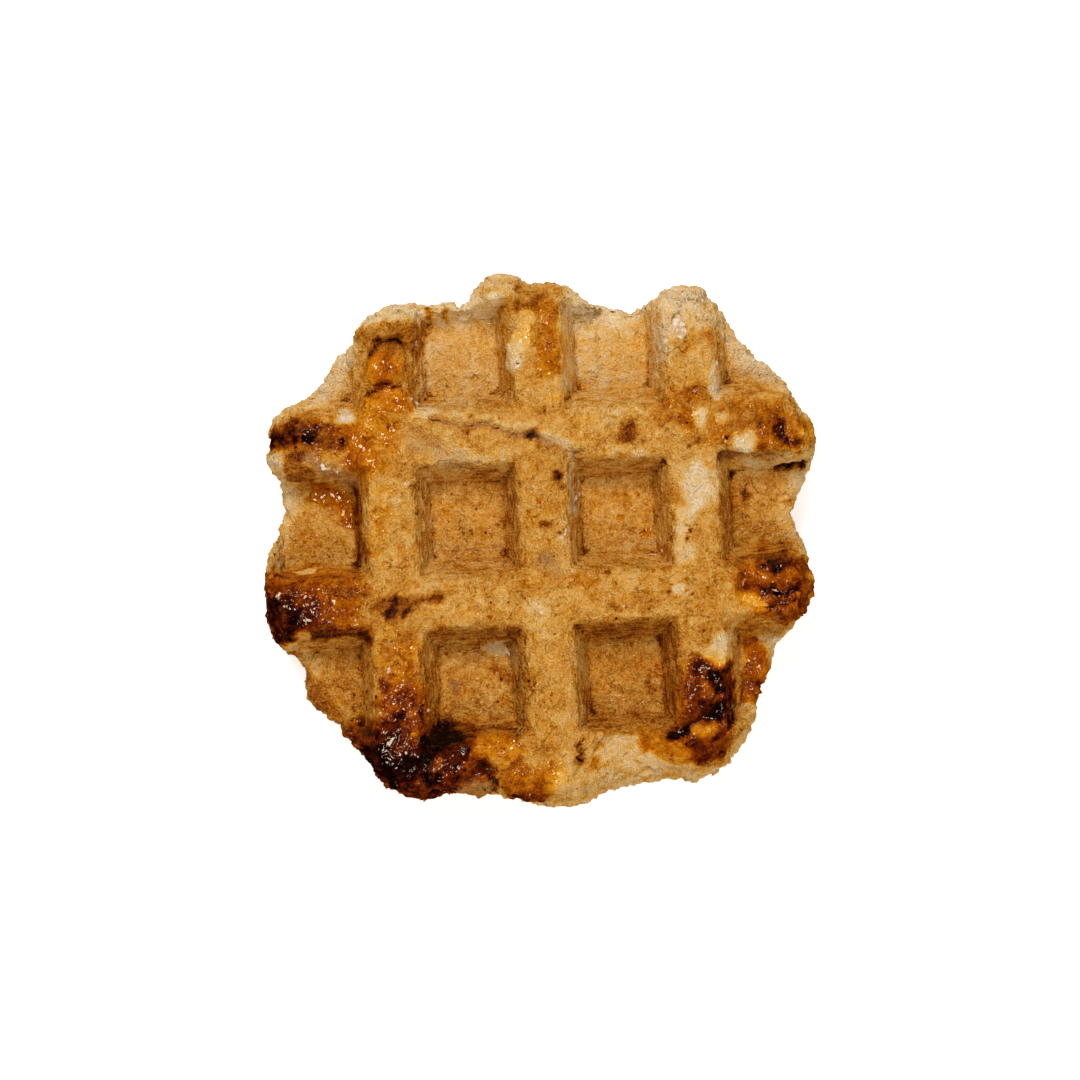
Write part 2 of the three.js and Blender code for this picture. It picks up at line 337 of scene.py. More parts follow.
    Mark([(9.4, -41), (9.7, -39.8)], 0.7, bake=0.47, gloss=0.6),
    Mark([(11.6, -33), (17, -33.6), (23, -33.2)], 1.6, bake=0.56),
    Mark([(19.6, -35.6), (24, -37), (27, -38.6)], 2.1, bake=0.58, gloss=0.8),
    # lower end of the right ridge, burnt
    Mark([(30, -24), (29, -30), (30, -36)], 4.2, bake=0.78, gloss=0.8),
    Mark([(31.4, -24.4), (33.3, -27.4)], 1.6, bake=0.98, gloss=0.8, relief=-0.5),
    Mark([(33.6, -22.6), (34, -27), (34, -33)], 1.0, bake=0.9, gloss=0.6),
    Mark([(32, -29.6), (30, -31.6), (26.8, -34.2), (24.2, -34.9)], 1.3, bake=1.0, gloss=0.8,
         relief=-0.9),
    Mark([(28.6, -25.6), (32.4, -27.8)], 0.7, bake=0.72, gloss=0.9, relief=0.6),
    Mark([(28.6, -34.6), (30.4, -33.6)], 1.2, bake=0.58, gloss=0.7, relief=0.3),
    Mark([(32.6, -35), (31, -38), (28, -39.4)], 1.3, bake=0.84, gloss=0.8),
    Mark([(29.6, -19.2), (32.2, -20.2), (32.6, -18)], 1.8, bake=0.16),
    Mark([(29, -17.6), (31, -16)], 1.6, bake=0.5),
    Mark([(38.6, -19), (39.4, -23), (38.4, -27.6)], 2.1, bake=0.66, gloss=0.8, relief=0.5),
    # right end of the lower ridge, burnt
    Mark([(38, -15.2), (44, -15.8), (47, -13.6)], 2.0, bake=0.52),
    Mark([(40, -8), (46, -8)], 4.6, bake=0.76, gloss=0.8),
    Mark([(40, -11.4), (44.4, -13)], 2.2, bake=0.74, gloss=0.8),
    Mark([(40.6, -4.4), (44, -4.2)], 1.4, bake=0.86, gloss=0.7),
    Mark([(42.8, -4.9)], 0.9, bake=1.0, gloss=0.8, relief=-0.8),
    Mark([(38.4, -6.4), (42, -6.6), (46, -6)], 1.1, bake=0.68, gloss=0.9, relief=0.5),
    Mark([(39.6, -8.9), (42, -9.4), (46.6, -8.6)], 0.5, bake=0.86, gloss=0.8, relief=-0.8, crack=0.9),
    Mark([(40, -11), (44, -11.6), (47, -10.4)], 0.5, bake=0.84, gloss=0.9, relief=-0.7, crack=0.8),
    Mark([(41, -13), (44.6, -12.6), (46.8, -11.8)], 0.9, bake=0.7, gloss=0.9, relief=0.4),
    Mark([(49.2, -6.4)], 1.2, bake=0.3),
    Mark([(37, -4), (41, -1.4), (45, -1)], 1.5, bake=0.62),
    Mark([(25.6, -8.4), (26, -9)], 1.2, bake=0.12),
    Mark([(26.5, -9.2)], 0.5, bake=0.8, relief=-0.8, crack=0.9),
    Mark([(7, -7.4), (9.4, -8)], 0.7, bake=0.55, gloss=0.5),
    Mark([(22, -8.5), (23.8, -8.6)], 0.5, bake=0.56, gloss=0.5),
    Mark([(13.2, -11.2), (14.2, -12.2)], 0.6, bake=0.62),
    Mark([(11.6, -5.6)], 0.4, bake=0.8, crack=0.8),
    Mark([(35, -12.6), (38, -11)], 1.8, bake=0.43),
    # right end of the upper ridge
    Mark([(25, 24), (31, 21), (41, 21.5)], 4.0, bake=0.55, gloss=0.3),
    Mark([(42, 20), (46, 19)], 3.4, bake=0.6, gloss=0.5),
    Mark([(39.4, 21)], 0.8, bake=0.86, relief=-0.6),
    Mark([(43.2, 20.6), (43.4, 18), (45.2, 16.6), (46.6, 17.6)], 0.8, bake=0.88, gloss=0.5, relief=-0.9),
    Mark([(36.6, 17.5)], 2.0, bake=0.08, relief=0.2),
    Mark([(28.9, 21.8)], 1.5, bake=0.16, relief=0.3),
    Mark([(32.5, 21.3)], 0.9, bake=0.18),
    Mark([(31.7, 15.3), (37.3, 14.8), (43.5, 15.4)], 0.5, bake=0.7, grey=0.3, relief=-0.8),
    Mark([(36, 13), (47, 14)], 1.4, bake=0.26),
    Mark([(43.5, 12.2), (46, 13), (47.8, 13.3)], 0.5, bake=0.96, relief=-1.0),
    Mark([(48, 19)], 1.6, bake=0.36, relief=0.4),
    # right ridge, and the lobe at its upper end
    Mark([(26, 43)], 5.4, bake=0.15),
    Mark([(25, 38.5), (30, 39)], 3.0, bake=0.22),
    Mark([(27, 35), (29, 32)], 3.0, bake=0.34),
    Mark([(25, 35.2), (27.6, 35.9), (30.4, 36.9)], 1.1, bake=0.47),
    Mark([(26, 30), (27, 28)], 2.1, bake=0.4),
    Mark([(27, 26.2), (29, 25.6)], 1.5, bake=0.62),
    Mark([(21.8, 38), (22, 33)], 1.5, bake=0.2, grey=0.2),
    Mark([(23.7, 42.6), (26.1, 43.3), (28.6, 43.6), (31, 42.6)], 0.3, relief=-0.4, crack=0.86),
    Mark([(26.1, 43.2), (24.7, 40.8), (23.7, 39.4)], 0.3, relief=-0.4, crack=0.86),
    Mark([(28, 40), (30, 40.2), (31.6, 39.4)], 0.3, relief=-0.4, crack=0.84),
    Mark([(31.6, 30.4), (31.6, 26)], 0.9, bake=0.14),
    Mark([(28.2, 12.6), (28, 6)], 2.2, bake=0.12),
    Mark([(31, 12), (31.2, 7)], 1.2, bake=0.26),
    Mark([(29.4, 4), (29.6, -2)], 1.4, bake=0.4),
    Mark([(25.6, 5), (25.8, -3)], 1.5, bake=0.2),
    Mark([(25.4, 3.8), (26.9, 2.6), (27.6, 0.6)], 0.3, bake=0.5, relief=-0.5, crack=0.85),
    Mark([(26.4, 0.3)], 0.5, bake=0.75, relief=-0.7, crack=0.85),
    # middle ridge: a grey band down its right wall, dark holes, grey dents
    Mark([(5.3, 15), (5.5, 11), (6, 8), (6.1, 5)], 0.5, bake=0.2, grey=0.4),
    Mark([(3.5, 11.7)], 0.6, bake=0.92, relief=-0.7),
    Mark([(4.2, 9.9)], 0.5, bake=0.9, relief=-0.6),
    Mark([(0.8, 3.1)], 0.8, bake=0.78, relief=-0.3),
    Mark([(1, -3.6), (3, -5.2)], 1.6, grey=0.6, relief=-0.4),
    Mark([(-2, -12.4), (0.5, -13)], 1.2, bake=0.24),
    # hair cracks in the ridges, the pockets, a wall and the upper rim
    Mark([(7.2, 39.8), (9, 41.6)], 0.3, relief=-0.5, crack=0.84),
    Mark([(8.6, 39.2), (10.2, 41)], 0.3, relief=-0.5, crack=0.82),
    Mark([(-12.6, -8), (-12, -9), (-12.6, -10.2)], 0.3, relief=-0.5, crack=0.9),
    Mark([(-3.4, -8.8), (-2.6, -10.4), (-2.4, -11.8)], 0.3, relief=-0.5, crack=0.88),
    Mark([(-14.8, 3.4), (-13.6, 1.8), (-12.2, 0.2)], 0.3, relief=-0.4, crack=0.9),
    Mark([(-12.8, 2.4), (-11.8, 1.4)], 0.3, relief=-0.3, crack=0.86),
    Mark([(2.2, -26.4), (1.4, -28.2)], 0.3, relief=-0.4, crack=0.86),
    Mark([(-23, 10.4), (-22.2, 8.6)], 0.3, relief=-0.4, crack=0.84),
    Mark([(-4.2, -25.2), (-4.1, -26.6)], 0.3, crack=0.9),
    Mark([(-1.5, -25.2), (-1.2, -27)], 0.3, crack=0.9),
    Mark([(-4.3, -31.8), (-4.2, -34.6)], 0.3, crack=0.9),
    Mark([(-3.4, -32.8), (-3.2, -34.6)], 0.3, crack=0.9),
    # small things in the pockets
    Mark([(19.4, 1.2), (20.4, 0.9)], 0.7, bake=0.55, gloss=0.8),
    Mark([(19.7, -26.3)], 0.7, bake=0.72),
    Mark([(-9, -19.2), (-7, -19.4)], 1.0, bake=0.2, grey=0.4),
    Mark([(-7, -20.2), (-5, -20.6)], 0.8, bake=0.1, grey=0.3, gloss=0.4),
    # grey beside the sugar smear: a painted shadow of the smear
    Mark([(-5, -20.4), (-4.6, -22)], 0.8, bake=0.5, grey=0.7),
    Mark([(-9, -23.8), (-5.4, -24.6)], 0.9, bake=0.6),
    Mark([(-15.3, -26.2)], 1.2, grey=0.6, relief=-0.4),
    Mark([(37.3, 8.1)], 0.9, bake=0.74),
    Mark([(44.9, 6.3)], 0.8, bake=0.66),
]

UNDERSIDE_MARKS = [
    Mark([(-47, -11), (-40, -12)], 4, bake=0.84, gloss=0.9),
    Mark([(-25, -42), (-17, -41)], 4.5, bake=0.8, gloss=0.8),
    Mark([(30, -36), (29, -28)], 3.5, bake=0.76, gloss=0.7),
    Mark([(46, -8), (42, -9)], 3.5, bake=0.74, gloss=0.6),
    Mark([(-42, 19), (-34, 18)], 3.0, bake=0.7, gloss=0.5),
    Mark([(-27, 30), (-26, 36)], 3.5, bake=0.62, gloss=0.6),
    Mark([(2, 34), (2, 26)], 3.5, bake=0.6),
    Mark([(28, 20), (36, 21)], 3.5, bake=0.6, gloss=0.3),
    Mark([(26, 42)], 4.5, bake=0.24),
    Mark([(14, -41)], 6.0, bake=0.22),
    Mark([(-26, 4), (-26, -4)], 3.0, bake=0.52),
    Mark([(2, -12), (10, -11)], 2.5, bake=0.62, gloss=0.4),
    Mark([(1, 6)], 2.0, bake=0.2),
    Mark([(-13, 19), (-8, 19.5)], 2.2, bake=0.24),
]


def mark_weight(mark, plan, face):
    """How much of a mark each point gets: all of it up to near its reach, on the given face."""
    gap = distance_to_path(plan, mark.path)
    blur = 0.2 + 0.35 * mark.reach
    return smoothstep(mark.reach + blur, mark.reach - blur, gap) * face


def add_marks(fields, marks, plan, face):
    for mark in marks:
        weight = mark_weight(mark, plan, face)
        for name in ("bake", "gloss", "grey"):
            level = getattr(mark, name)
            if level is not None:
                fields[name] += weight * (level - fields[name])
        fields["bake"] += weight * mark.tone
        fields["relief"] += weight * mark.relief
        if mark.crack:
            near = 1 - distance_to_path(plan, mark.path) / CRACK_REACH
            fields["crack"] = np.maximum(fields["crack"], mark.crack * near * face)


# ---- the crust ----

VOXEL = 0.59  # makes the crust of just under 200,000 triangles
# bake, grey and crack carry the crust's colours, and in places painted light and painted shade too
PAINTED_FIELDS = ("bake", "gloss", "grey", "crack", "wall")
GRID_TURN = math.radians(2.6)  # how far the ridges are turned from the frame's axes
TOP_ROOM = 0.8  # between the upper ridges and the top of the box, for what stands out of them
OUTLINE_STEPS = 720  # bearings at which the outline is measured
RIM_START = 4.5  # how far in from the outline the rim begins
RIM_FULL = 2.0  # and where all is rim
USUAL_BAKE = 0.42
USUAL_GLOSS = 0.05
PITS = 150
PIT_RADII = (0.5, 1.1)


def remeshed_copy(node, name):
    """A new object with about the CAD node's shape in even, fine faces, in rows along the ridges."""
    turned = node.data.copy()
    turned.transform(Matrix.Rotation(-GRID_TURN, 4, "Z"))
    piece = bpy.data.objects.new(name, turned)
    bpy.context.scene.collection.objects.link(piece)
    remesh = piece.modifiers.new("voxels", "REMESH")
    remesh.mode = "VOXEL"
    remesh.voxel_size = VOXEL * UNIT
    remesh.use_smooth_shade = True
    evaluated = piece.evaluated_get(bpy.context.evaluated_depsgraph_get())
    mesh = bpy.data.meshes.new_from_object(evaluated)
    mesh.transform(Matrix.Rotation(GRID_TURN, 4, "Z"))
    piece.modifiers.clear()
    piece.data = mesh
    mesh.materials.clear()
    return piece


def inset_from_rim(points):
    """How far each point is in from the outline, along the line from the middle."""
    radius = np.hypot(points[:, 0], points[:, 1])
    turn = (np.arctan2(points[:, 1], points[:, 0]) / (2 * math.pi) + 1) % 1
    which = np.minimum((turn * OUTLINE_STEPS).astype(int), OUTLINE_STEPS - 1)
    reach = np.zeros(OUTLINE_STEPS)
    np.maximum.at(reach, which, radius)
    reach = np.maximum.reduce([np.roll(reach, 1), reach, np.roll(reach, -1)])
    return reach[which] - radius


def shape_fields(surface):
    """The smoothed normals, and where the walls, rim, hollows and faces are, each from 0 to 1."""
    points = surface.points
    normals = surface.spread(surface.normals(), 1)
    upright = np.abs(normals[:, 2])
    rim = smoothstep(RIM_START, RIM_FULL, inset_from_rim(points))
    off_middle = np.abs(points[:, 2] - MIDDLE)
    return {
        "normals": normals,
        "wall": smoothstep(0.9, 0.6, upright),
        "rim": rim,
        "waist": rim * smoothstep(0.8, 0.4, off_middle / MIDDLE),
        "upper": smoothstep(MIDDLE - 3, MIDDLE + 2, points[:, 2]),
        "edge": np.clip(-surface.hollowness(8), 0, 0.5),
        "foot": smoothstep(0.22, 0.45, surface.hollowness(14)),
        "land": smoothstep(MIDDLE - 4, MIDDLE - 1, off_middle),
    }


def pits(points, count, seed):
    """Small holes at random places, as how deep each point lies in one, from 0 to 1."""
    random = np.random.default_rng(seed)
    centres = points[random.integers(0, len(points), count)]
    depth = np.zeros(len(points))
    for centre, radius in zip(centres, random.uniform(*PIT_RADII, count)):
        gap = np.linalg.norm(points - centre, axis=1)
        depth = np.maximum(depth, smoothstep(radius, 0.3 * radius, gap))
    return depth


def unmarked_fields(points, shape, lumps, crumbs):
    """The fields before anything is marked: nearly evenly baked, with a paler waist."""
    patches = noise_at(points, 14, 3)
    # walls a little darker, partly browner crust and partly painted shade; lumps and crumbs, which the
    # relief raises, paler where high and darker where low: painted light and painted shade
    bake = USUAL_BAKE + 0.05 * patches - 0.03 * lumps - 0.02 * crumbs + 0.05 * shape["wall"]
    return {
        "bake": bake - 0.18 * shape["waist"],
        "gloss": np.full(len(points), USUAL_GLOSS),
        "grey": np.zeros(len(points)),
        "crack": np.zeros(len(points)),
        "wall": shape["wall"] * (1 - shape["rim"]),
        "relief": np.zeros(len(points)),
    }


def mark_both_faces(fields, points, upper):
    """Add all the marks, on a plan that noise bends so that their outlines are ragged."""
    coarse = np.stack([noise_at(points, 4.5, seed) for seed in (1, 2)], axis=1)
    fine = np.stack([noise_at(points, 1.6, seed, 2) for seed in (11, 12)], axis=1)
    plan = points[:, :2] + 0.75 * coarse + 0.35 * fine
    add_marks(fields, UPPER_MARKS, plan, upper)
    add_marks(fields, UNDERSIDE_MARKS, plan, 1 - upper)
    fields["bake"] += 0.1 * fields["gloss"] * noise_at(points, 2.4, 13)


def add_flaws(fields, points, shape):
    """Add pits, cracks, rounded edges with a painted highlight, and painted shade along the walls' feet.
    """
    holes = pits(points, PITS, 5)
    cracks = smoothstep(0.1, 0.0, np.abs(noise_at(points, 7, 8, 2)))
    cracks *= smoothstep(0.2, 0.5, noise_at(points, 9, 9))
    # the rounded edges are painted paler: a painted highlight on the lips
    fields["bake"] += 0.14 * holes + 0.1 * cracks - 0.1 * shape["edge"]
    fields["relief"] -= 0.6 * holes + 0.5 * cracks + 0.8 * shape["edge"]
    # a dark, broken line along the feet of the walls: painted shade in the crease, laid into the crack
    # field
    foot_shade_line = shape["foot"] * smoothstep(-0.6, 0.2, noise_at(points, 3, 14))
    fields["bake"] += 0.05 * foot_shade_line
    fields["crack"] = np.maximum(fields["crack"], 0.9 * foot_shade_line)


def add_grain(fields, points, shape, lumps, crumbs):
    """Add the dough's own relief, calmer on the walls, where the plates drew it out in streaks."""
    streaks = noise_at(points, (5.0, 5.0, 1.8), 6)
    fields["bake"] += 0.06 * shape["wall"] * streaks
    fields["relief"] += 0.06 * fields["wall"] * (streaks + crumbs)
    rough = (0.35 + 0.65 * shape["land"]) * (1 - 0.8 * shape["wall"]) + 0.5 * shape["rim"]
    fields["relief"] += rough * (0.4 * noise_at(points, 9, 10) + 0.36 * lumps + 0.2 * crumbs)
    bites = smoothstep(0.2, 0.8, noise_at(points, 2, 15))
    fields["relief"] += shape["rim"] * (0.4 * crumbs - 0.5 * bites)


def crust_fields(points, shape):
    """How baked, glossy and grey each point is, how cracked, and how far its relief moves it."""
    lumps = noise_at(points, 3.4, 4)
    crumbs = noise_at(points, 1.5, 7)
    fields = unmarked_fields(points, shape, lumps, crumbs)
    mark_both_faces(fields, points, shape["upper"])
    add_flaws(fields, points, shape)
    add_grain(fields, points, shape, lumps, crumbs)
    for name in PAINTED_FIELDS:
        fields[name] = np.clip(fields[name], 0, 1)
    return fields


def make_crust():
    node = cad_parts["waffle"]
    piece = remeshed_copy(node, "waffle_crust")
    surface = Surface(piece.data)
    surface.snap_to(node.data)
    surface.points[:, 2] *= (THICKNESS - TOP_ROOM) / surface.points[:, 2].max()
    shape = shape_fields(surface)
    fields = crust_fields(surface.points, shape)
    surface.points += fields["relief"][:, None] * shape["normals"]
    surface.points = np.clip(surface.points, np.array(LOW) / UNIT, np.array(HIGH) / UNIT)
    surface.store()
    for name in PAINTED_FIELDS:
        surface.keep(name, fields[name])
    piece.data.materials.append(crust_material())
    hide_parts("waffle")
    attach(piece, "root")
    return surface, fields


# ---- small lumps on the crust: pearl sugar, caramel and crumbs ----

PEARL_SUGAR = [  # x, y and width of each grain
    (24.9, 38.4, 3.0),
    (22.6, 35.4, 1.1),
    (21.6, 34.4, 1.3),
    (20.6, 38.4, 0.9),
    (31.9, 31.6, 1.4),
    (31.6, 29.0, 0.8),
    (-22.4, 35.4, 1.3),
    (-22.2, 24.6, 1.2),
    (-23.2, 25.4, 0.8),
    (7.3, 8.3, 1.5),
    (6.6, 7.4, 1.0),
    (4.8, 1.4, 1.4),
    (3.6, 0.6, 0.9),
    (20.4, -2.6, 1.0),
    (22.0, -2.0, 0.8),
    (36.2, 17.9, 1.6),
    (37.6, 17.0, 1.1),
    (-47.4, 14.6, 1.5),
    (-46.9, -10.0, 1.0),
    (-6.0, -20.0, 1.5),
    (0.0, -12.5, 1.0),
    (-26.2, -35.5, 0.9),
    (-20.0, -30.9, 0.9),
    (-28.6, -31.3, 0.8),
    (-27.2, -23.2, 0.8),
    (31.3, -39.0, 1.2),
    (-4.4, 31.4, 1.2),
    (-34.6, 22.3, 1.2),
    (-40.2, 14.4, 1.0),
    (-38.8, 13.0, 1.3),
    (-36.4, 12.0, 0.8),
    (4.6, 16.2, 0.9),
    (2.6, 17.3, 0.8),
]
SUGAR_SWELL = 1.35  # how much wider a grain starts, because its dents and proportions shrink it
CARAMEL_BEADS = 320
BEAD_WIDTHS = (0.7, 1.9)
CRUMBS = 900
CRUMB_WIDTHS = (0.5, 1.5)
FLATTEST_LUMP = (0.6, 0.6, 0.4)
FULLEST_LUMP = (1.1, 1.1, 0.7)
DENTS = 0.6


def lump_template(detail):
    """A ball one unit across, as its points and its faces."""
    ball = bmesh.new()
    bmesh.ops.create_icosphere(ball, subdivisions=detail, radius=0.5)
    points = np.array([corner.co for corner in ball.verts])
    faces = np.array([[corner.index for corner in face.verts] for face in ball.faces])
    ball.free()
    return points, faces


def own_shape(ball, random):
    """The ball's points with dents and proportions of their own."""
    dents = 1 + DENTS * noise_at(ball, 0.5, random.uniform(0, 60), 2)
    return ball * dents[:, None] * random.uniform(FLATTEST_LUMP, FULLEST_LUMP)


def own_turn(normal, random):
    """A matrix that stands a lump on a surface with this normal, spun about it at random."""
    upright = Vector(normal).to_track_quat("Z", "Y")
    spin = Quaternion((0, 0, 1), random.uniform(0, math.tau))
    return np.array((upright @ spin).to_matrix())


def make_lumps(name, surface, fields, chosen, widths, detail, sink):
    """One piece of a lump at each chosen point of the surface, each with a shape of its own.

    sink is how far the lumps are in the surface, as a share of their width.
    """
    random = np.random.default_rng(len(chosen))
    ball, faces = lump_template(detail)
    points = []
    for place, normal, width in zip(surface.points[chosen], surface.normals()[chosen], widths):
        shape = own_shape(ball, random)
        turned = shape @ own_turn(normal, random).T
        points.append(turned * width + place - sink * width * normal)
    corners = np.clip(np.concatenate(points) * UNIT, LOW, HIGH)
    starts = np.arange(len(chosen)) * len(ball)
    triangles = (faces[None] + starts[:, None, None]).reshape(-1, 3)
    mesh = bpy.data.meshes.new(name)
    mesh.from_pydata(corners.tolist(), [], triangles.tolist())
    mesh.shade_smooth()
    lumps = Surface(mesh)
    for field in PAINTED_FIELDS:
        lumps.keep(field, np.repeat(fields[field][chosen], len(ball)))
    piece = bpy.data.objects.new(name, mesh)
    bpy.context.scene.collection.objects.link(piece)
    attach(piece, "root")
    return piece


def make_pearl_sugar(surface, fields):
    """The grains that stayed white, each at its place on the upper side."""
    plan = surface.points[:, :2]
    out_of_reach = 100.0 * (surface.points[:, 2] < MIDDLE)
    chosen = [np.argmin(np.hypot(*(plan - (x, y)).T) + out_of_reach) for x, y, _ in PEARL_SUGAR]
    widths = [SUGAR_SWELL * width for _, _, width in PEARL_SUGAR]
    piece = make_lumps("pearl_sugar", surface, fields, chosen, widths, detail=3, sink=0.2)
    piece.data.materials.append(pearl_sugar_material())


def make_caramel_beads(surface, fields):
    """Melted sugar that boiled up and set in beads where the crust is glossy."""
    random = np.random.default_rng(21)
    likely = smoothstep(0.45, 0.9, fields["gloss"]) * (fields["grey"] < 0.3)
    chosen = random.choice(len(likely), CARAMEL_BEADS, replace=False, p=likely / likely.sum())
    widths = random.uniform(*BEAD_WIDTHS, CARAMEL_BEADS)
    piece = make_lumps("caramel_beads", surface, fields, chosen, widths, detail=2, sink=0.15)
    piece.data.materials.append(caramel_material())


def make_crumbs(surface, fields):
    """Loose and half-baked-in crumbs of dough, everywhere on the waffle."""
    random = np.random.default_rng(22)
    chosen = random.choice(len(surface.points), CRUMBS, replace=False)
    widths = random.uniform(*CRUMB_WIDTHS, CRUMBS)
    piece = make_lumps("crumbs", surface, fields, chosen, widths, detail=2, sink=0.25)
    piece.data.materials.append(crust_material())


# ---- materials ----

WALL_STRETCH = 2.2  # the plates draw the grain of the walls out as they open
CRYSTAL = 0.45  # the width of a crystal in the sugar's surface
FILM_ROUGHNESS = 0.05

# How much darker each pattern of the grain makes the crust, or paler below 0: what the pattern's
# values are from and to, and the change at the one and at the other. Grain, crumbs and mottling raise
# the crust where they are high, and paint it paler there and darker where they are low: painted light
# and painted shade on their bumps.
PATTERN_BAKE = (
    ("grain", 0.3, 0.7, 0.072, -0.072),
    ("crumbs", 0.0, 1.0, 0.045, -0.045),
    ("mottling", 0.32, 0.68, 0.05, -0.05),
    ("hairlines", 0.0, 1.0, 0.0, 0.12),
    ("rust", 0.0, 1.0, 0.0, 0.1),
    ("flecks", 0.0, 1.0, 0.0, 0.12),
    ("pores", 0.0, 1.0, 0.0, 0.24),
    ("dashes", 0.0, 1.0, 0.0, 0.16),
    ("cracks", 0.0, 1.0, 0.0, 0.18),
    ("cream", 0.0, 1.0, 0.015, -0.08),
)
# The share of each pattern in the height of the grain.
PATTERN_HEIGHT = (
    ("grain", 0.8),
    ("mottling", 1.3),
    ("streaks", 0.3),
    ("crumbs", 0.15),
    ("hairlines", -0.25),
    ("pores", -0.3),
    ("dashes", -0.25),
    ("cracks", -0.5),
)


class Shader:
    """A material's nodes, with short ways to add them."""

    def __init__(self, name):
        self.material = bpy.data.materials.new(name)
        self.material.use_nodes = True
        self.tree = self.material.node_tree
        self.surface = self.tree.nodes["Principled BSDF"]

    def node(self, kind, inputs=None, **settings):
        made = self.tree.nodes.new(kind)
        for name, value in settings.items():
            setattr(made, name, value)
        for name, value in (inputs or {}).items():
            self.give(made.inputs[name], value)
        return made

    def give(self, socket, value):
        if isinstance(value, bpy.types.NodeSocket):
            self.tree.links.new(value, socket)
        else:
            socket.default_value = value

    def look(self, inputs):
        """Set the surface's inputs, by name."""
        for name, value in inputs.items():
            self.give(self.surface.inputs[name], value)

    def maths(self, operation, first, second):
        made = self.node("ShaderNodeMath", {0: first, 1: second}, operation=operation)
        return made.outputs[0]

    def total(self, *values):
        return reduce(lambda first, second: self.maths("ADD", first, second), values)

    def product(self, *values):
        return reduce(lambda first, second: self.maths("MULTIPLY", first, second), values)

    def most(self, *values):
        return reduce(lambda first, second: self.maths("MAXIMUM", first, second), values)

    def vectors(self, operation, *values):
        inputs = dict(enumerate(values))
        return self.node("ShaderNodeVectorMath", inputs, operation=operation).outputs

    def remap(self, value, low, high, new_low=0.0, new_high=1.0):
        """The value, moved smoothly from one range to another and kept inside it."""
        made = self.node("ShaderNodeMapRange", {"Value": value}, interpolation_type="SMOOTHSTEP")
        ends = {"From Min": low, "From Max": high, "To Min": new_low, "To Max": new_high}
        for name, end in ends.items():
            made.inputs[name].default_value = end
        return made.outputs[0]

    def mix(self, share, first, second):
        made = self.node("ShaderNodeMix", data_type="RGBA")
        for index, value in ((0, share), (6, first), (7, second)):
            self.give(made.inputs[index], value)
        return made.outputs[2]

    def bump(self, height, strength, distance):
        inputs = {"Height": height, "Strength": strength, "Distance": distance * UNIT}
        return self.node("ShaderNodeBump", inputs).outputs[0]

    def places(self):
        """Places on the piece, in units, with what is drawn from them longer on walls."""
        coordinates = self.node("ShaderNodeTexCoord").outputs["Object"]
        return self.stretched(coordinates, (UNIT, UNIT, WALL_STRETCH * UNIT))

    def bent(self, places, scale, reach):
        """The places moved about by noise, so that what is straight there isn't straight any more."""
        noise_node = self.node("ShaderNodeTexNoise", {"Vector": places, "Scale": scale})
        return self.vectors("MULTIPLY_ADD", noise_node.outputs["Color"], (reach,) * 3, places)[0]

    def stretched(self, places, sizes):
        scale = [1 / size for size in sizes]
        return self.node("ShaderNodeMapping", {"Vector": places, "Scale": scale}).outputs[0]

    def noise(self, places, scale, detail=3.0, distortion=0.0):
        inputs = {"Vector": places, "Scale": scale, "Detail": detail, "Distortion": distortion}
        return self.node("ShaderNodeTexNoise", inputs).outputs[0]

    def cells(self, places, spacing, wobble):
        """Crumbs about spacing apart: each one's own random tone, and the distance from its middle."""
        made = self.node("ShaderNodeTexVoronoi", {"Vector": places, "Scale": 1 / spacing})
        ragged = self.remap(self.noise(places, 2.5 / spacing), 0.3, 0.7, -wobble / 2, wobble / 2)
        return made.outputs["Color"], self.total(made.outputs["Distance"], ragged)

    def spots(self, places, spacing, share, radius):
        """Ragged spots in a share of the crumbs. radius is a share of spacing."""
        tone, distance = self.cells(places, spacing, radius)
        chosen = self.remap(tone, 0.98 - share, 1.0 - share)
        return self.product(chosen, self.remap(distance, 1.3 * radius, 0.8 * radius))

    def hairlines(self, places, spacing, width, share):
        """Fine, broken, angular cracks, in a share of the places."""
        wavy = self.bent(places, 0.5 / spacing, 0.8 * spacing)
        wavy = self.bent(wavy, 2.5 / spacing, 0.3 * spacing)
        inputs = {"Vector": wavy, "Scale": 1 / spacing}
        edges = self.node("ShaderNodeTexVoronoi", inputs, feature="DISTANCE_TO_EDGE")
        lines = self.remap(edges.outputs["Distance"], width / spacing, 0.3 * width / spacing)
        regions = self.noise(places, 0.9 / spacing, 2.0)
        return self.product(lines, self.remap(regions, 0.62 - share / 2, 0.68 - share / 2))

    def crystals(self, places, width):
        """A height that is flat in each crystal, and leans its own way there."""
        made = self.node("ShaderNodeTexVoronoi", {"Vector": places, "Scale": 1 / width})
        lean = self.vectors("SUBTRACT", made.outputs["Color"], (0.5, 0.5, 0.5))[0]
        across = self.vectors("SUBTRACT", places, made.outputs["Position"])[0]
        return self.vectors("DOT_PRODUCT", lean, across)["Value"]

    def field(self, name):
        return self.node("ShaderNodeAttribute", attribute_name=name).outputs["Fac"]

    def ramp(self, value, stops):
        made = self.node("ShaderNodeValToRGB", {"Fac": value})
        elements = made.color_ramp.elements
        while len(elements) < len(stops):
            elements.new(0.5)
        for element, (position, colour) in zip(elements, stops):
            element.position = position
            element.color = linear(colour)
        return made.outputs["Color"]


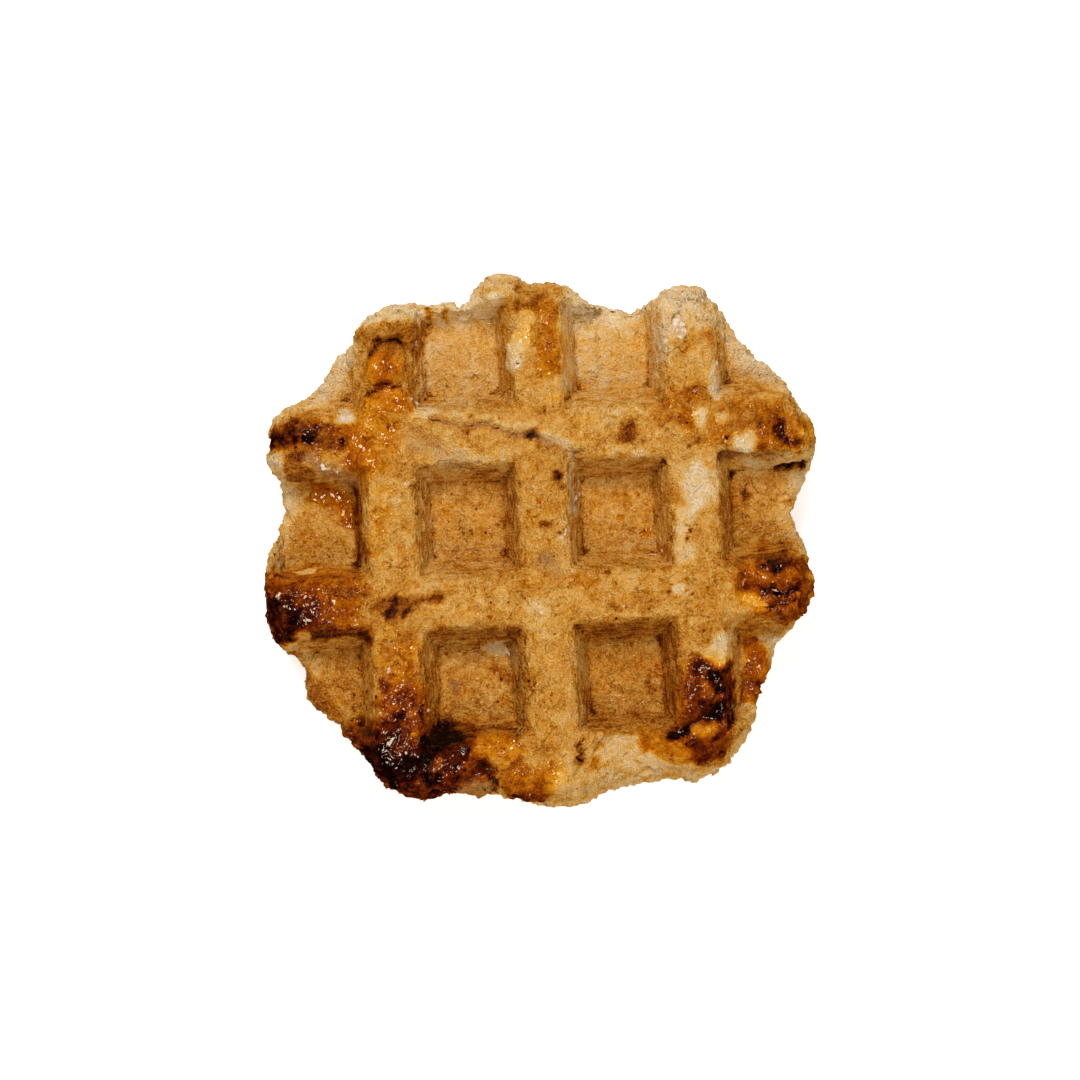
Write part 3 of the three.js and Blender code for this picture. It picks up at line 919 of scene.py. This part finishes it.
def grain_patterns(shader, places):
    """The patterns that the crust's grain is made of, by name."""
    drawn_out = shader.stretched(places, (2.6, 2.6, 0.5))
    swirled = shader.stretched(shader.bent(places, 0.3, 9), (0.5, 3.0, 2.0))
    drifting = shader.stretched(shader.bent(places, 0.2, 6), (1.7, 1.0, 1.0))
    ragged = shader.remap(shader.noise(places, 1.6, 4.0), 0.3, 0.7, -0.2, 0.2)
    return {
        "grain": shader.noise(places, 2.8, 2.0),
        "mottling": shader.noise(places, 0.55, 5.0, 0.5),
        "streaks": shader.remap(shader.noise(drawn_out, 1.0, 4.0), 0.35, 0.65, -0.5, 0.5),
        "scores": shader.spots(drawn_out, 1.0, 0.3, 0.2),
        "crumbs": shader.cells(places, 0.55, 0.5)[0],
        "pores": shader.spots(places, 1.4, 0.16, 0.16),
        "dashes": shader.spots(swirled, 1.0, 0.12, 0.26),
        # the marks' cracks, and the painted shade along the feet of the walls
        "cracks": shader.remap(shader.total(shader.field("crack"), ragged), 0.7, 0.85),
        "hairlines": shader.hairlines(places, 3.2, 0.14, 0.08),
        "rust": shader.spots(drifting, 2.2, 0.14, 0.22),
        "flecks": shader.spots(places, 1.7, 0.2, 0.24),
        "cream": shader.remap(shader.noise(places, 0.22, 5.0, 1.0), 0.52, 0.6),
    }


def grainy_level(shader, patterns):
    """The bake level with the grain in it, which is calmer where the crust is glossy or pale."""
    changes = [
        shader.remap(patterns[name], low, high, below, above)
        for name, low, high, below, above in PATTERN_BAKE
    ]
    streaks = shader.product(patterns["streaks"], 0.12)
    scores = shader.product(patterns["scores"], 0.1)
    changes.append(shader.product(shader.total(streaks, scores), shader.field("wall")))
    calm = shader.product(
        shader.remap(shader.field("gloss"), 0.3, 0.9, 1.0, 0.7),
        shader.remap(patterns["cream"], 0.0, 1.0, 1.05, 0.75),
        shader.remap(shader.field("bake"), 0.15, 0.38, 0.5, 1.0),
    )
    return shader.total(shader.field("bake"), shader.product(shader.total(*changes), calm))


def sugar_film(shader, places):
    """The normal of the sugar's surface: small crystals, melted into a smooth film where it burnt."""
    melted = shader.remap(shader.field("bake"), 0.68, 0.8)
    smooth = shader.product(shader.noise(places, 0.45, 0.3, 1.5), melted)
    solid = shader.maths("SUBTRACT", 1.0, melted)
    rough = shader.product(shader.crystals(places, CRYSTAL), solid)
    return shader.bump(shader.total(smooth, rough), 1.0, 0.5)


def crust_colour(shader, places, patterns, patches, wet):
    """Dough from cream to black, golden where it is wet or flecked, with pale specks and grey dents."""
    level = grainy_level(shader, patterns)
    golden = shader.most(shader.remap(wet, 0.0, 0.6), patterns["flecks"], patterns["rust"])
    colour = shader.mix(golden, shader.ramp(level, DRY_COLOURS), shader.ramp(level, WET_COLOURS))
    pale_enough = shader.remap(level, 0.6, 0.5)
    specks = shader.product(shader.spots(places, 1.7, 0.10, 0.16), pale_enough, 0.8)
    colour = shader.mix(specks, colour, linear(SPECK_COLOUR))
    # grey: greyish dough in most places, painted shade in a few creases and dents and beside a sugar
    # smear
    grey_dough_and_shade = shader.product(shader.field("grey"), shader.remap(patches, 0.35, 0.6, 0.45, 0.9))
    return shader.mix(grey_dough_and_shade, colour, linear(GREY_DOUGH))


def crust_material():
    shader = Shader("crust")
    places = shader.places()
    patterns = grain_patterns(shader, places)
    gloss = shader.field("gloss")
    patches = shader.noise(places, 0.35, 4.0, 0.6)
    wet = shader.total(gloss, shader.remap(patches, 0.35, 0.65, -0.2, 0.25))
    height = shader.total(*(shader.product(patterns[name], share) for name, share in PATTERN_HEIGHT))
    dryness = shader.remap(gloss, 0.2, 0.9, 1.0, 0.4)
    shader.look({
        "Base Color": crust_colour(shader, places, patterns, patches, wet),
        "Roughness": shader.remap(wet, 0.3, 0.85, 0.8, 0.35),
        "Normal": shader.bump(shader.product(height, dryness), 1.0, 1.0),
        "IOR": 1.45,
        "Specular IOR Level": 0.0,
        "Coat Weight": shader.remap(wet, 0.2, 0.8, 0.12, 1.0),
        "Coat Normal": sugar_film(shader, places),
        "Coat Roughness": FILM_ROUGHNESS,
        "Coat IOR": 1.5,
    })
    return shader.material


def caramel_material():
    shader = Shader("caramel")
    places = shader.places()
    uneven = shader.remap(shader.noise(places, 0.8), 0.3, 0.7, -0.1, 0.06)
    level = shader.total(shader.field("bake"), uneven)
    shader.look({
        "Base Color": shader.ramp(level, WET_COLOURS),
        "Roughness": shader.remap(shader.noise(places, 2.0), 0.3, 0.7, 0.1, 0.3),
        "Specular IOR Level": 0.0,
        "Coat Weight": 1.0,
        "Coat Normal": sugar_film(shader, places),
        "Coat Roughness": FILM_ROUGHNESS,
    })
    return shader.material


def pearl_sugar_material():
    shader = Shader("pearl_sugar")
    places = shader.places()
    cloudy = shader.remap(shader.noise(places, 1.1, 4.0), 0.35, 0.65)
    facets = shader.cells(places, 0.5, 0.3)[1]
    shader.look({
        "Base Color": shader.mix(cloudy, linear(CLEAR_SUGAR), linear(WHITE_SUGAR)),
        "Normal": shader.bump(facets, 0.8, 0.3),
        "Roughness": shader.remap(cloudy, 0.0, 1.0, 0.25, 0.55),
        "Subsurface Weight": 0.3,
        "Subsurface Scale": 0.5 * UNIT,
    })
    return shader.material


# ---- floor, light and camera ----

FLOOR_REACH = 4000.0  # from the middle to each side
FRAME_ACROSS = 196.7  # what the picture takes in at the waffle's mid height
CAMERA_DISTANCE = 700.0
SENSOR = 36.0  # in millimetres
CLIP_START = 0.05  # in metres
CLIP_END = 20.0  # in metres
LAMP_COLOURS = {"light": (1, 1, 1), "glints": (1, 0.84, 0.6)}


def make_floor():
    size = FLOOR_REACH * UNIT
    mesh = bpy.data.meshes.new("floor")
    corners = [(-size, -size, 0), (size, -size, 0), (size, size, 0), (-size, size, 0)]
    mesh.from_pydata(corners, [], [(0, 1, 2, 3)])
    floor = bpy.data.objects.new("floor", mesh)
    bpy.context.scene.collection.objects.link(floor)
    shader = Shader("pale_floor")
    shader.look({
        "Base Color": linear("#F4F3F1"),
        "Roughness": 0.9,
        "Emission Color": linear("#FFFFFF"),
        "Emission Strength": 0.5,
    })
    mesh.materials.append(shader.material)
    floor.visible_glossy = False


def add_lamp(name, place, size, power, shows_in):
    """A square lamp at a place in units, aimed at the waffle, that gives it its light or its glints."""
    lamp = bpy.data.lights.new(name, "AREA")
    lamp.size = size * UNIT
    lamp.energy = power
    lamp.color = LAMP_COLOURS[shows_in]
    stand = bpy.data.objects.new(name, lamp)
    stand.location = Vector(place) * UNIT
    aim = Vector((0, 0, MIDDLE * UNIT)) - stand.location
    stand.rotation_euler = aim.to_track_quat("-Z", "Y").to_euler()
    stand.visible_glossy = shows_in == "glints"
    stand.visible_diffuse = shows_in == "light"
    bpy.context.scene.collection.objects.link(stand)


def light_the_stage():
    add_lamp("key", (-100, 340, 590), 260, 3.9, "light")
    add_lamp("fill", (150, -400, 500), 300, 1.95, "light")
    add_lamp("upper_glints", (60, 160, 500), 115, 0.7, "glints")
    add_lamp("left_glints", (-220, 40, 460), 105, 0.55, "glints")
    world = bpy.data.worlds.new("studio")
    bpy.context.scene.world = world
    world.use_nodes = True
    world.node_tree.nodes["Background"].inputs["Color"].default_value = linear("#FFFFFF")
    world.node_tree.nodes["Background"].inputs["Strength"].default_value = 0.3
    world.cycles_visibility.glossy = False


def add_camera():
    lens = bpy.data.cameras.new("camera")
    lens.sensor_width = SENSOR
    lens.lens = SENSOR * CAMERA_DISTANCE / FRAME_ACROSS
    lens.clip_start = CLIP_START
    lens.clip_end = CLIP_END
    camera = bpy.data.objects.new("camera", lens)
    camera.location = (0, 0, (MIDDLE + CAMERA_DISTANCE) * UNIT)
    bpy.context.scene.collection.objects.link(camera)
    bpy.context.scene.camera = camera


crust, painted = make_crust()
make_pearl_sugar(crust, painted)
make_caramel_beads(crust, painted)
make_crumbs(crust, painted)
make_floor()
light_the_stage()
add_camera()
bpy.context.scene.view_settings.view_transform = "Standard"
